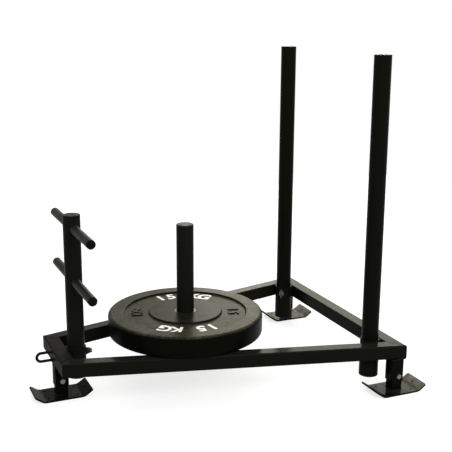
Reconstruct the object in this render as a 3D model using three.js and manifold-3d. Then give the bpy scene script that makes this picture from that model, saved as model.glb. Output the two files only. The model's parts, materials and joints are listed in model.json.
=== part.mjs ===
// Drag sled for strength training: a low frame of square tube on three bent skids, with two push
// poles and a handle post that stand in round sleeves, a weight horn that carries a rubber plate,
// and a tow loop on the nose.
// Millimetres, +Z up, +X from the nose to the push poles, the ground at z = 0.
// Inside the file x = y = 0 is the axis of the weight horn. The last lines move the origin to the
// middle of the footprint.

import * as THREE from 'three';
import { mergeVertices } from 'three/addons/utils/BufferGeometryUtils.js';
import Module from 'manifold-3d';

const wasm = await Module();
wasm.setup();

// Fits
const fitGap = 0.3; // left open between pieces that touch or are welded
const cutOverrun = 5; // a cutting tool runs this far past the faces it cuts

// Frame of square tube, measured from the horn axis
const frameSide = 40;
const frameWall = 2.5;
const frameCorner = 4;
const frameTop = 137.5;
const hornToNose = 395;
const hornToRear = 530.5;
const noseHalfWidth = 118;
const rearHalfWidth = 358;
const centreBarWidth = 80;

// Legs, welded under the frame
const legSide = 38;
const legWall = 2;
const legCorner = 4;
const legFoot = 31; // height of the open lower end
const legInset = 4; // in from the outer faces of the rear corner, both ways

// Skids: a bent plate with a square post that slides up into the leg
const skidThick = 5;
const skidFlatHalf = 57;
const skidTipRun = 25;
const skidTipRise = 17;
const skidBendRadius = 14;
const skidHalfWidth = 43.5;
const skidHoleSize = 6.5;
const skidHoleAlong = 41;
const skidHoleAcross = 27;
const skidPostPlay = 0.5; // between it and the leg, on each side
const skidPostWall = 2;
const skidPostCorner = 3;
const skidPostHeadroom = 11.5; // left above it, below the frame

// The cross bolt that holds each skid in its leg
const boltSize = 8;
const boltRise = 17.5; // its axis, above the lower end of the leg
const boltPlay = 0.4; // radial clearance of its holes
const boltHeadFlats = 13;
const boltHeadHeight = 5.3;
const boltTail = 3; // thread that shows past the nut
const nutHeight = 6.5;
const washerSize = 16;
const washerThick = 1.6;

// Sleeves for the poles and the handle post
const sleeveWall = 2.5;
const sleevePlay = 1; // between it and the pole, all round
const rearSleeveFoot = 30;
const frontSleeveFoot = 50;
const sleeveBaseThick = 5;
const drainSize = 12;

// Push poles and handle post
const poleSize = 48;
const poleWall = 2.5;
const poleTop = 940;
const handlePostTop = 515;
const capThick = 4;
const capEdge = 1.2;
const capPlugDepth = 16;

// Cross handles of the front post
const handleSize = 25;
const handleWall = 2.5;
const handleHalfLength = 200;
const upperHandleDrop = 35; // its axis, below the top of the post
const handleSpacing = 150;
const handleCapThick = 3;
const handlePlugDepth = 10;

// Tow loop of bent rod
const loopRod = 8;
const loopSpread = 24; // between the centres of its two arms
const loopReach = 47;
const loopRise = 1.5; // its middle, above the middle of the crossmember

// Weight horn
const hornSize = 50;
const hornWall = 3;
const hornTop = 458.5;

// Rubber weight plate and its steel hub
const plateSize = 450;
const plateThick = 61;
const plateEdge = 9; // radius of its round outer edges
const plateRimWidth = 47;
const plateHubFace = 210;
const plateRecess = 5.5;
const plateStepSlope = 2;
const hubWall = 6.5;
const hubPlay = 0.5; // between it and the horn, all round

// Lock screws of the sleeves
const lockSize = 10;
const lockDrop = 18; // below the frame's top face
const lockPlay = 0.3;
const lockNutFlats = 17;
const lockNutHeight = 6;
const knobStandoff = 1;
const knobLength = 10;
const knobRootSize = 18;
const knobTipSize = 8;
const knobSeat = 5; // how deep the screw sits in it
const wingSpan = 30;
const wingThick = 4.5;
const wingRootShare = 0.25; // where the wings start along the knob
const wingTipShare = 0.75; // where the shorter outer edge of a wing starts

// Where the lock screws point, from +X towards +Y, and how their wings stand, as shares of a full turn
const frontLockTurnShare = 0;
const nearLockTurnShare = 0.25;
const farLockTurnShare = 0.645;
const frontWingTurnShare = 0;
const rearWingTurnShare = 0.25;

// How many flat sides stand for a round one
const poleSides = 24;
const handleSides = 20;
const smallSides = 12;
const plateSides = 60;
const loopSides = 8;
const loopSteps = 30;
const cornerSteps = 2;
const bendSteps = 4;
const edgeSteps = 2;
const innerCornerShare = 0.25; // the least corner radius inside a tube, of the one outside

// Worked out from the sizes above
const frameMiddle = frameTop - frameSide / 2;
const frameBottom = frameTop - frameSide;
const slant = Math.atan2(rearHalfWidth - noseHalfWidth, hornToNose + hornToRear);
const outerLine = (x) => noseHalfWidth + (x + hornToNose) * Math.tan(slant);
const innerLine = (x) => outerLine(x) - frameSide / Math.cos(slant);
const poleRadius = poleSize / 2;
const sleeveRadius = poleRadius + sleevePlay + sleeveWall;
const frontPostX = -hornToNose + frameSide + fitGap + sleeveRadius;
const rearPoleX = hornToRear - frameSide - fitGap - sleeveRadius;
const rearPoleY = innerLine(rearPoleX) - (fitGap + sleeveRadius) / Math.cos(slant);
const legHalf = legSide / 2;
const frontLegX = -hornToNose + frameSide - legHalf;
const rearLegX = hornToRear - legInset - legHalf;
const rearLegY = rearHalfWidth - legInset - legHalf;
const boltHeight = legFoot + boltRise;
const skidPostSide = legSide - 2 * (legWall + skidPostPlay);
const skidPostTop = frameBottom - skidPostHeadroom;
const loopTip = -hornToNose - loopReach;
const skidTip = skidFlatHalf + skidTipRun;
const frontTip = Math.min(loopTip, frontLegX - skidTip);

// Finishes
const paint = { color: 0x141412, roughness: 0.35, metalness: 0.2 };
const finishes = {
  framePaint: new THREE.MeshStandardMaterial(paint),
  polePaint: new THREE.MeshStandardMaterial({ ...paint, roughness: 0.42 }),
  skidPaint: new THREE.MeshStandardMaterial({ ...paint, color: 0x1a1917, roughness: 0.4 }),
  zinc: new THREE.MeshStandardMaterial({ color: 0xa8a69c, roughness: 0.35, metalness: 0.9 }),
  hubSteel: new THREE.MeshStandardMaterial({ color: 0xb4b3ae, roughness: 0.3, metalness: 1 }),
  rubber: new THREE.MeshStandardMaterial({ color: 0x1b1a18, roughness: 0.6, metalness: 0 }),
  blackPlastic: new THREE.MeshStandardMaterial({ color: 0x101010, roughness: 0.5, metalness: 0 }),
  greyPlastic: new THREE.MeshStandardMaterial({ color: 0x8f928a, roughness: 0.5, metalness: 0 }),
};

// Between three.js geometry and solids that can be cut and joined
function toSolid(geometry) {
  const bare = geometry.clone();
  bare.deleteAttribute('normal');
  bare.deleteAttribute('uv');
  const merged = mergeVertices(bare);
  return new wasm.Manifold(new wasm.Mesh({
    numProp: 3,
    vertProperties: new Float32Array(merged.attributes.position.array),
    triVerts: new Uint32Array(merged.index.array),
  }));
}

function toGeometry(solid) {
  const mesh = solid.getMesh();
  const geometry = new THREE.BufferGeometry();
  geometry.setAttribute('position', new THREE.BufferAttribute(mesh.vertProperties, 3));
  geometry.setIndex(new THREE.BufferAttribute(mesh.triVerts, 1));
  geometry.computeVertexNormals();
  return geometry;
}

const cut = (body, ...tools) => tools.reduce((left, tool) => left.subtract(toSolid(tool)), body);

function piece(name, shape, finish) {
  const geometry = shape.isBufferGeometry ? shape : toGeometry(shape);
  const mesh = new THREE.Mesh(geometry, finishes[finish]);
  mesh.name = name;
  return mesh;
}

function at(object, x, y, z) {
  object.position.set(x, y, z);
  return object;
}

// Shapes that several pieces share
function turned(profile, sides) {
  // profile: [radius, height] pairs, bottom to top along the outside; it turns about Z
  const points = profile.map(([radius, height]) => new THREE.Vector2(radius, height));
  return new THREE.LatheGeometry(points, sides).rotateX(Math.PI / 2);
}

function ring(outer, inner, low, high, sides) {
  return turned([[inner, low], [outer, low], [outer, high], [inner, high], [inner, low]], sides);
}

function rod(radius, low, high, sides) {
  return turned([[0, low], [radius, low], [radius, high], [0, high]], sides);
}

// A rod along X or Y, its ends at low and high
const rodX = (radius, low, high, sides) => rod(radius, low, high, sides).rotateY(Math.PI / 2);
const rodY = (radius, low, high, sides) => rod(radius, low, high, sides).rotateX(-Math.PI / 2);

function roundedBox(path, width, height, round) {
  const x = width / 2;
  const y = height / 2;
  path.absarc(x - round, y - round, round, 0, Math.PI / 2);
  path.absarc(round - x, y - round, round, Math.PI / 2, Math.PI);
  path.absarc(round - x, round - y, round, Math.PI, Math.PI * 1.5);
  path.absarc(x - round, round - y, round, Math.PI * 1.5, Math.PI * 2);
  return path;
}

function boxTube(width, height, wall, round, length) {
  // stands on z = 0
  const shape = roundedBox(new THREE.Shape(), width, height, round);
  const inside = Math.max(round - wall, round * innerCornerShare);
  shape.holes.push(roundedBox(new THREE.Path(), width - 2 * wall, height - 2 * wall, inside));
  return new THREE.ExtrudeGeometry(shape, {
    depth: length, bevelEnabled: false, curveSegments: cornerSteps,
  });
}

function hexNut(flats, height, hole) {
  const shape = new THREE.Shape();
  const radius = flats / Math.sqrt(3);
  for (let i = 0; i < 6; i += 1) {
    const turn = (i * Math.PI) / 3;
    const place = [radius * Math.cos(turn), radius * Math.sin(turn)];
    if (i === 0) shape.moveTo(...place);
    else shape.lineTo(...place);
  }
  if (hole > 0) shape.holes.push(new THREE.Path().absarc(0, 0, hole, 0, Math.PI * 2, true));
  return new THREE.ExtrudeGeometry(shape, {
    depth: height, bevelEnabled: false, curveSegments: smallSides / 2,
  });
}

function tubeCap(size, bore, thick, depth, sides) {
  // a lid with a plug below it; the lid's underside is z = 0
  const radius = size / 2;
  const plug = bore / 2 - fitGap;
  return turned([[0, -depth], [plug, -depth], [plug, 0], [radius, 0], [radius, thick - capEdge],
    [radius - capEdge, thick], [0, thick]], sides);
}

// Frame members, built where they lie in plan, with the tube's middle at z = 0
function member(width, from, to) {
  const run = new THREE.Vector2().subVectors(to, from);
  const length = run.length() + 2 * frameSide;
  const tube = boxTube(width, frameSide, frameWall, frameCorner, length);
  tube.translate(0, 0, -length / 2).rotateX(Math.PI / 2).rotateZ(Math.PI / 2);
  tube.rotateZ(run.angle());
  tube.translate((from.x + to.x) / 2, (from.y + to.y) / 2, 0);
  return toSolid(tube);
}

// Trims a member at the upright plane through a and b, on the side away from keep
function trim(solid, a, b, keep, clearance) {
  const across = new THREE.Vector2(a.y - b.y, b.x - a.x).normalize();
  if (across.dot(keep) < across.dot(a)) across.negate();
  return solid.trimByPlane([across.x, across.y, 0], across.dot(a) + clearance);
}

const plan = (x, y) => new THREE.Vector2(x, y);
const noseInnerX = -hornToNose + frameSide;
const rearInnerX = hornToRear - frameSide;

function mitre(solid, side, end, keep) {
  // end: the member's nose end or its rear end
  const outer = end === 'nose' ? plan(-hornToNose, side * noseHalfWidth)
    : plan(hornToRear, side * rearHalfWidth);
  const innerX = end === 'nose' ? noseInnerX : rearInnerX;
  return trim(solid, outer, plan(innerX, side * innerLine(innerX)), keep, fitGap / 2);
}

function sideRail(name, side) {
  const inset = plan(Math.sin(slant), -side * Math.cos(slant)).multiplyScalar(frameSide / 2);
  const from = plan(-hornToNose, side * noseHalfWidth).add(inset);
  const to = plan(hornToRear, side * rearHalfWidth).add(inset);
  const middle = plan(0, side * (outerLine(0) - frameSide / 2));
  const rail = mitre(mitre(member(frameSide, from, to), side, 'nose', middle), side, 'rear', middle);
  return at(piece(name, rail, 'framePaint'), 0, 0, frameMiddle);
}

function crossMember(name, end) {
  const x = end === 'nose' ? -hornToNose + frameSide / 2 : hornToRear - frameSide / 2;
  const half = end === 'nose' ? noseHalfWidth : rearHalfWidth;
  let bar = member(frameSide, plan(x, -half), plan(x, half));
  bar = mitre(mitre(bar, 1, end, plan(x, 0)), -1, end, plan(x, 0));
  return at(piece(name, bar, 'framePaint'), 0, 0, frameMiddle);
}

function centreCrossbar() {
  const half = centreBarWidth / 2;
  let bar = member(centreBarWidth, plan(0, -innerLine(0)), plan(0, innerLine(0)));
  for (const side of [1, -1]) {
    const front = plan(-half, side * innerLine(-half));
    const back = plan(half, side * innerLine(half));
    bar = trim(bar, front, back, plan(0, 0), fitGap);
  }
  bar = cut(bar, rod(hornSize / 2 + fitGap, -frameSide, frameSide, poleSides));
  return at(piece('centre_crossbar', bar, 'framePaint'), 0, 0, frameMiddle);
}

// Weight horn: a tube through the centre crossbar, closed by a cap
function weightHorn() {
  const horn = new THREE.Group();
  const tubeTop = hornTop - capThick - fitGap;
  const bore = hornSize - 2 * hornWall;
  const tube = ring(hornSize / 2, bore / 2, frameBottom, tubeTop, poleSides);
  horn.add(piece('weight_horn', tube, 'polePaint'));
  const lid = tubeCap(hornSize, bore, capThick, capPlugDepth, poleSides);
  horn.add(at(piece('horn_cap', lid, 'greyPlastic'), 0, 0, hornTop - capThick));
  return horn;
}

// Tow loop: two arms and a half circle in an upright plane
class LoopPath extends THREE.Curve {
  getPoint(share) {
    const bend = loopSpread / 2;
    const arm = loopReach - loopRod / 2 - bend - fitGap;
    const turn = Math.PI * bend;
    const along = share * (2 * arm + turn);
    if (along < arm) return new THREE.Vector3(-along, 0, bend);
    if (along > arm + turn) return new THREE.Vector3(along - 2 * arm - turn, 0, -bend);
    const angle = (along - arm) / bend;
    return new THREE.Vector3(-arm - bend * Math.sin(angle), 0, bend * Math.cos(angle));
  }
}

function towLoop() {
  const section = new THREE.Shape().absarc(0, 0, loopRod / 2, 0, Math.PI * 2);
  const geometry = new THREE.ExtrudeGeometry(section, {
    steps: loopSteps, extrudePath: new LoopPath(), curveSegments: loopSides / 2,
  });
  return at(piece('tow_loop', geometry, 'framePaint'), -hornToNose - fitGap, 0, frameMiddle + loopRise);
}

// One leg with its skid, bolt, washer and nut, about the leg's axis
function skidPlate() {
  const tilt = Math.atan2(skidTipRise, skidTipRun);
  const half = tilt / 2;
  const tangent = skidBendRadius * Math.tan(half);
  const shape = new THREE.Shape();
  const side = (sign, height, radius) => {
    // the run of one face round its bend and out to the tip, as [x, z] pairs
    const start = skidFlatHalf - tangent;
    const points = [];
    for (let i = 0; i <= bendSteps; i += 1) {
      const turn = (i / bendSteps) * tilt;
      points.push([start + radius * Math.sin(turn), height + radius * (1 - Math.cos(turn))]);
    }
    const [lastX, lastZ] = points[bendSteps];
    const left = (skidTip - lastX) / Math.cos(tilt);
    const rest = left - (height > 0 ? skidThick * Math.tan(tilt) : 0);
    points.push([lastX + rest * Math.cos(tilt), lastZ + rest * Math.sin(tilt)]);
    return points.map(([x, z]) => [sign * x, z]);
  };
  const below = side(1, 0, skidBendRadius);
  const above = side(1, skidThick, skidBendRadius - skidThick);
  const aboveLeft = side(-1, skidThick, skidBendRadius - skidThick);
  const belowLeft = side(-1, 0, skidBendRadius);
  const outline = [...below, ...above.reverse(), ...aboveLeft, ...belowLeft.reverse()];
  outline.forEach(([x, z], i) => (i === 0 ? shape.moveTo(x, z) : shape.lineTo(x, z)));
  const plate = new THREE.ExtrudeGeometry(shape, { depth: 2 * skidHalfWidth, bevelEnabled: false });
  plate.translate(0, 0, -skidHalfWidth).rotateX(Math.PI / 2);
  const drills = [];
  for (const along of [-1, 1]) {
    for (const across of [-1, 1]) {
      const drill = rod(skidHoleSize / 2, -cutOverrun, skidThick + cutOverrun, smallSides);
      drills.push(drill.translate(along * skidHoleAlong, across * skidHoleAcross, 0));
    }
    const tipDrill = rod(skidHoleSize / 2, -2 * skidThick, 2 * skidThick, smallSides);
    tipDrill.rotateY(-along * tilt);
    drills.push(tipDrill.translate(along * (skidFlatHalf + skidTipRun / 2), 0, skidTipRise / 2));
  }
  return cut(toSolid(plate), ...drills);
}

function legSet(name, x, y) {
  const set = at(new THREE.Group(), x, y, 0);
  const boltHole = boltSize / 2 + boltPlay;
  const drill = () => rodY(boltHole, -legSide, legSide, smallSides).translate(0, 0, boltHeight);

  const legTube = boxTube(legSide, legSide, legWall, legCorner, frameBottom - fitGap - legFoot);
  legTube.translate(0, 0, legFoot);
  set.add(piece(`${name}_leg`, cut(toSolid(legTube), drill()), 'framePaint'));

  const post = boxTube(skidPostSide, skidPostSide, skidPostWall, skidPostCorner,
    skidPostTop - skidThick - fitGap);
  post.translate(0, 0, skidThick + fitGap);
  set.add(piece(`${name}_skid_post`, cut(toSolid(post), drill()), 'skidPaint'));
  set.add(piece(`${name}_skid`, skidPlate(), 'skidPaint'));

  // the head is on the -Y side, the nut on the +Y side
  const headFace = legHalf + 2 * fitGap + washerThick;
  const nutFace = legHalf + fitGap;
  const head = hexNut(boltHeadFlats, boltHeadHeight, 0);
  const shank = rod(boltSize / 2, 0, headFace + nutFace + nutHeight + boltTail, smallSides);
  const bolt = toSolid(head.translate(0, 0, -boltHeadHeight)).add(toSolid(shank));
  const boltMesh = piece(`${name}_skid_bolt`, bolt, 'zinc');
  boltMesh.rotation.x = -Math.PI / 2;
  set.add(at(boltMesh, 0, -headFace, boltHeight));

  const washer = ring(washerSize / 2, boltHole, 0, washerThick, smallSides);
  washer.rotateX(-Math.PI / 2);
  set.add(at(piece(`${name}_skid_washer`, washer, 'zinc'), 0, fitGap - headFace, boltHeight));
  const nut = hexNut(boltHeadFlats, nutHeight, boltHole).rotateX(-Math.PI / 2);
  set.add(at(piece(`${name}_skid_nut`, nut, 'zinc'), 0, nutFace, boltHeight));
  return set;
}

// One sleeve with its base, weld nut, lock screw and wing knob; the screw points along +X
function lockKnob() {
  const root = toSolid(turned([[0, 0], [knobRootSize / 2, 0], [knobTipSize / 2, knobLength],
    [0, knobLength]], smallSides).rotateY(Math.PI / 2));
  const wings = new THREE.Shape();
  const near = knobLength * wingRootShare;
  const far = knobLength * wingTipShare;
  wings.moveTo(near, -knobTipSize / 2);
  wings.lineTo(far, -wingSpan / 2);
  wings.lineTo(knobLength, -wingSpan / 2);
  wings.lineTo(knobLength, wingSpan / 2);
  wings.lineTo(far, wingSpan / 2);
  wings.lineTo(near, knobTipSize / 2);
  const blade = new THREE.ExtrudeGeometry(wings, { depth: wingThick, bevelEnabled: false });
  blade.translate(0, 0, -wingThick / 2);
  const seat = rodX(lockSize / 2 + lockPlay, -cutOverrun, knobSeat + lockPlay, smallSides);
  return cut(root.add(toSolid(blade)), seat);
}

function sleeveSet(name, x, y, foot, lockTurn, wingTurn) {
  const set = at(new THREE.Group(), x, y, 0);
  set.rotation.z = lockTurn * Math.PI * 2;
  const lockHeight = frameTop - lockDrop;
  const lockHole = lockSize / 2 + lockPlay;
  const bore = sleeveRadius - sleeveWall;

  const tube = ring(sleeveRadius, bore, foot, frameTop, poleSides);
  const drill = rodX(lockHole, 0, 2 * sleeveRadius, smallSides).translate(0, 0, lockHeight);
  set.add(piece(`${name}_sleeve`, cut(toSolid(tube), drill), 'framePaint'));
  const base = ring(bore - fitGap, drainSize / 2, foot, foot + sleeveBaseThick, poleSides);
  set.add(piece(`${name}_sleeve_base`, base, 'framePaint'));

  const nutFace = sleeveRadius + fitGap;
  const nut = hexNut(lockNutFlats, lockNutHeight, lockHole).rotateY(Math.PI / 2);
  set.add(at(piece(`${name}_lock_nut`, nut, 'framePaint'), nutFace, 0, lockHeight));

  const knobFace = nutFace + lockNutHeight + knobStandoff;
  const screw = rodX(lockSize / 2, poleRadius + fitGap, knobFace + knobSeat, smallSides);
  set.add(at(piece(`${name}_lock_screw`, screw, 'zinc'), 0, 0, lockHeight));
  const knob = piece(`${name}_lock_knob`, lockKnob(), 'blackPlastic');
  knob.rotation.x = wingTurn * Math.PI * 2;
  set.add(at(knob, knobFace, 0, lockHeight));
  return set;
}

// A round post that stands on the base of its sleeve, with a foot plug and a top cap
function post(name, x, y, sleeveFoot, top, ...drills) {
  const set = at(new THREE.Group(), x, y, 0);
  const bore = poleSize - 2 * poleWall;
  const standing = sleeveFoot + sleeveBaseThick + fitGap;
  const low = standing + capThick + fitGap;
  const high = top - capThick - fitGap;
  const tube = ring(poleRadius, bore / 2, low, high, poleSides);
  set.add(piece(name, drills.length > 0 ? cut(toSolid(tube), ...drills) : tube, 'polePaint'));
  const plug = () => tubeCap(poleSize, bore, capThick, capPlugDepth, poleSides);
  set.add(at(piece(`${name}_cap`, plug(), 'blackPlastic'), 0, 0, top - capThick));
  const foot = piece(`${name}_foot`, plug(), 'blackPlastic');
  foot.rotation.x = Math.PI;
  set.add(at(foot, 0, 0, standing + capThick));
  return set;
}

// The handle post: the front post with two handles through it
function handlePost() {
  const upper = handlePostTop - upperHandleDrop;
  const heights = { upper, lower: upper - handleSpacing };
  const hole = (height) => rodY(handleSize / 2 + fitGap, -poleSize, poleSize, handleSides)
    .translate(0, 0, height);
  const set = post('front_post', frontPostX, 0, frontSleeveFoot, handlePostTop,
    hole(heights.upper), hole(heights.lower));
  const bore = handleSize - 2 * handleWall;
  const tubeEnd = handleHalfLength - handleCapThick - fitGap;
  for (const [level, height] of Object.entries(heights)) {
    const tube = ring(handleSize / 2, bore / 2, -tubeEnd, tubeEnd, handleSides);
    tube.rotateX(-Math.PI / 2);
    set.add(at(piece(`${level}_handle`, tube, 'polePaint'), 0, 0, height));
    for (const [side, sign] of [['near', -1], ['far', 1]]) {
      const lid = tubeCap(handleSize, bore, handleCapThick, handlePlugDepth, handleSides);
      const cap = piece(`${level}_handle_${side}_cap`, lid, 'blackPlastic');
      cap.rotation.x = (-sign * Math.PI) / 2;
      set.add(at(cap, 0, sign * (handleHalfLength - handleCapThick), height));
    }
  }
  return set;
}

// The weight plate lies on the rails and the centre crossbar, round the horn
function weightPlate() {
  const set = at(new THREE.Group(), 0, 0, frameTop + fitGap);
  const outer = plateSize / 2;
  const rim = outer - plateRimWidth;
  const face = plateHubFace / 2;
  const hubRadius = hornSize / 2 + hubPlay + hubWall;
  const bore = hubRadius + fitGap;
  const round = [];
  for (let i = 0; i <= edgeSteps; i += 1) {
    const turn = (i / edgeSteps) * (Math.PI / 2);
    round.push([outer - plateEdge * (1 - Math.sin(turn)), plateThick - plateEdge * (1 - Math.cos(turn))]);
  }
  // from the bore out along the upper face; the lower face is the same, upside down
  const upper = [[bore, plateThick], [face, plateThick],
    [face + plateStepSlope, plateThick - plateRecess],
    [rim - plateStepSlope, plateThick - plateRecess],
    [rim, plateThick], ...round];
  const lower = upper.map(([radius, height]) => [radius, plateThick - height]);
  const profile = [...lower, ...upper.reverse(), lower[0]];
  set.add(piece('plate_rubber', turned(profile, plateSides), 'rubber'));
  const hub = ring(hubRadius, hornSize / 2 + hubPlay, 0, plateThick, poleSides);
  set.add(piece('plate_hub', hub, 'hubSteel'));
  return set;
}

const sled = new THREE.Group();
sled.add(
  sideRail('near_side_rail', -1),
  sideRail('far_side_rail', 1),
  crossMember('nose_crossmember', 'nose'),
  crossMember('rear_crossbar', 'rear'),
  centreCrossbar(),
  weightHorn(),
  towLoop(),
  legSet('front', frontLegX, 0),
  legSet('near', rearLegX, -rearLegY),
  legSet('far', rearLegX, rearLegY),
  sleeveSet('front', frontPostX, 0, frontSleeveFoot, frontLockTurnShare, frontWingTurnShare),
  sleeveSet('near', rearPoleX, -rearPoleY, rearSleeveFoot, nearLockTurnShare, rearWingTurnShare),
  sleeveSet('far', rearPoleX, rearPoleY, rearSleeveFoot, farLockTurnShare, rearWingTurnShare),
  handlePost(),
  post('near_push_pole', rearPoleX, -rearPoleY, rearSleeveFoot, poleTop),
  post('far_push_pole', rearPoleX, rearPoleY, rearSleeveFoot, poleTop),
  weightPlate(),
);
sled.position.x = -(frontTip + rearLegX + skidTip) / 2;
sled.updateMatrixWorld(true);

export default sled;
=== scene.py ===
import json
import math

import bmesh
import bpy
from bmesh.types import BMEdge, BMVert
from mathutils import Matrix, Vector

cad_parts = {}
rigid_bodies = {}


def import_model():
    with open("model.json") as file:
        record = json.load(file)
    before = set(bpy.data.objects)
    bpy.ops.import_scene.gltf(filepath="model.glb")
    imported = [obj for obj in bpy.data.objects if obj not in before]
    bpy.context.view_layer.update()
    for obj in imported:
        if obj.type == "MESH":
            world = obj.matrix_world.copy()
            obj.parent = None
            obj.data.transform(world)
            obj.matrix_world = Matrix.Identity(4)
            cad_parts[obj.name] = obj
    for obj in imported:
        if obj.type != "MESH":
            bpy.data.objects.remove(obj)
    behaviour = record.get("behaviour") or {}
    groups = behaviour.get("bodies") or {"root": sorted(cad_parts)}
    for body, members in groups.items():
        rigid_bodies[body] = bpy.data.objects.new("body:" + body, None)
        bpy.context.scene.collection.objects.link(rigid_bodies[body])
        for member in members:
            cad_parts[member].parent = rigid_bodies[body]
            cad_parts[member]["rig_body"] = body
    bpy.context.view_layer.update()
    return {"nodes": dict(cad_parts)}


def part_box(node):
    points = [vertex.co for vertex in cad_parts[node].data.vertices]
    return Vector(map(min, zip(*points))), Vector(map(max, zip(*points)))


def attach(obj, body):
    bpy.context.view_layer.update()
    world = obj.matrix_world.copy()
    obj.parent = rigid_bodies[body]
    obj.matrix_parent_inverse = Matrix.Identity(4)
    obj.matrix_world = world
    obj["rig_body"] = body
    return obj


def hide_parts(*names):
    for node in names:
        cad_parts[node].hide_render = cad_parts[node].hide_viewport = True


# A drag sled of black painted tube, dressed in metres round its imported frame
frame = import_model()
mm = 0.001
tiny = 0.01 * mm
mergeBelow = tiny / 4
xAxis, yAxis, zAxis = Vector((1, 0, 0)), Vector((0, 1, 0)), Vector((0, 0, 1))
legEnds = ("front", "near", "far")
print("frame loaded:", len(frame["nodes"]), "nodes")


def middle(node):
    low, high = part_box(node)
    return (low + high) / 2


def extent(node):
    low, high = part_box(node)
    return high - low


# Shading nodes

def feed(tree, socket, value):
    # links the socket to another node's output, or sets it to a number, a vector or a colour
    if isinstance(value, bpy.types.NodeSocket):
        tree.links.new(value, socket)
    elif socket.type == "RGBA":
        socket.default_value = (*value, 1)
    else:
        socket.default_value = value


def addNode(tree, kind, inputs=None, **settings):
    node = tree.nodes.new("ShaderNode" + kind)
    for key, value in settings.items():
        setattr(node, key, value)
    for key, value in (inputs or {}).items():
        feed(tree, node.inputs[key], value)
    return node


def calculate(tree, operation, *values):
    return addNode(tree, "Math", dict(enumerate(values)), operation=operation).outputs[0]


def multiply(tree, first, second):
    return calculate(tree, "MULTIPLY", first, second)


def blankMaterial(name):
    material = bpy.data.materials.new(name)
    material.use_nodes = True
    return material, material.node_tree, material.node_tree.nodes["Principled BSDF"]


def startMaterial(name, look):
    material, tree, shader = blankMaterial(name)
    shader.inputs["IOR"].default_value = look["ior"]
    shader.inputs["Metallic"].default_value = look.get("metallic", 0)
    place = addNode(tree, "TexCoord").outputs["Object"]
    return material, tree, shader, place


def noise(tree, place, grain):
    scale, detail, rough = grain
    found = addNode(tree, "TexNoise", {"Vector": place, "Scale": scale, "Detail": detail, "Roughness": rough})
    return found.outputs["Fac"]


def remap(tree, value, window, low=0, high=1):
    # carries the two ends of the window to low and high, and holds what lies outside it
    found = addNode(tree, "MapRange", {"Value": value, "From Min": window[0], "From Max": window[1],
                                       "To Min": low, "To Max": high})
    return found.outputs["Result"]


def blendColours(tree, dustLightAndShadeShare, first, second):
    # the node's two colours are its sockets 6 and 7, and its mixed colour is output 2
    return addNode(tree, "Mix", {0: dustLightAndShadeShare, 6: first, 7: second}, data_type="RGBA").outputs[2]


def bump(tree, shader, height, strength, distance, before=None):
    inputs = {"Height": height, "Strength": strength, "Distance": distance}
    if before is not None:
        inputs["Normal"] = before
    normal = addNode(tree, "Bump", inputs).outputs["Normal"]
    tree.links.new(normal, shader.inputs["Normal"])
    return normal


def edgeShare(tree, place, node, radius, soften):
    # 0 within radius of a node's upright middle line, 1 outside it
    centre = middle(node)
    moved = addNode(tree, "Mapping", {"Vector": place, "Location": (-centre.x, -centre.y, 0),
                                      "Scale": (1, 1, 0)}).outputs["Vector"]
    away = addNode(tree, "VectorMath", {0: moved}, operation="LENGTH").outputs["Value"]
    return remap(tree, away, (radius - soften / 2, radius + soften / 2))


def upShare(tree, window):
    # 1 on faces that look up, 0 on walls and undersides
    facing = addNode(tree, "TexCoord").outputs["Normal"]
    return remap(tree, addNode(tree, "SeparateXYZ", {"Vector": facing}).outputs["Z"], window)


def scratches(tree, place, streaks):
    # noise stretched along one axis and cut to its brightest streaks
    stretched = addNode(tree, "Mapping", {"Vector": place, "Scale": streaks["stretch"]}).outputs["Vector"]
    return remap(tree, noise(tree, stretched, streaks["grain"]), streaks["window"])


def smeared(tree, place, look):
    # a roughness that drifts between the two values of rough
    return remap(tree, noise(tree, place, look["smear"]), look["smearWindow"], *look["rough"])


def coat(tree, shader, colour, rough):
    tree.links.new(colour, shader.inputs["Base Color"])
    tree.links.new(rough, shader.inputs["Roughness"])


# Finishes

# cloud, smear, peel, patches, specks and grain: a noise's scale, detail and roughness
# window: the stretch of a noise, a direction or a length over which the finish changes
framePaintLook = {
    "ior": 1.063, "colour": (0.0081, 0.0084, 0.0062), "worn": (0.012, 0.0123, 0.0095),
    "dusty": (0.0135, 0.013, 0.0102), "cloud": (14, 5, 0.6), "wornWindow": (0.62, 0.78), "mostWorn": 0.5,
    "dustWindow": (0.35, 0.6), "leastDust": 0.4, "upWindow": (0.35, 0.75), "smear": (60, 6, 0.65),
    "smearWindow": (0.3, 0.7), "rough": (0.17, 0.27), "peel": (420, 2, 0.4), "peelStrength": 0.5,
    "peelDepth": 0.012 * mm}
# the legs' paint: a darker copy of the frame paint, painted shade on the legs that hang under the frame; the
# skid posts take it too
legShadedPaintLook = {
    **framePaintLook, "ior": 1.065, "colour": (0.0044, 0.0046, 0.0032), "worn": (0.008, 0.0082, 0.0062)}
# the paint of the nose crossmember and the front leg: the legs' darker copy, painted shade, with lighter
# brown rubbed patches that are partly wear and partly painted light
noseLightAndShadePaintLook = {
    **legShadedPaintLook, "ior": 1.06, "worn": (0.02, 0.017, 0.011), "dusty": (0.0105, 0.0098, 0.0073),
    "mostWorn": 0.7, "rough": (0.42, 0.56)}
polePaintLook = {
    **framePaintLook, "ior": 1.08, "colour": (0.005, 0.0053, 0.0038), "worn": (0.009, 0.0092, 0.007),
    "dusty": (0.0115, 0.011, 0.0087), "mostWorn": 0.6, "rough": (0.3, 0.42), "peel": (520, 2, 0.4),
    "peelDepth": 0.02 * mm}
# a lighter copy of the pole paint, painted light on the horn, the handle post, the handles and their welds
hornLitPaintLook = {**polePaintLook, "colour": (0.0086, 0.0088, 0.0066), "worn": (0.0125, 0.0127, 0.0098)}
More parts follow.
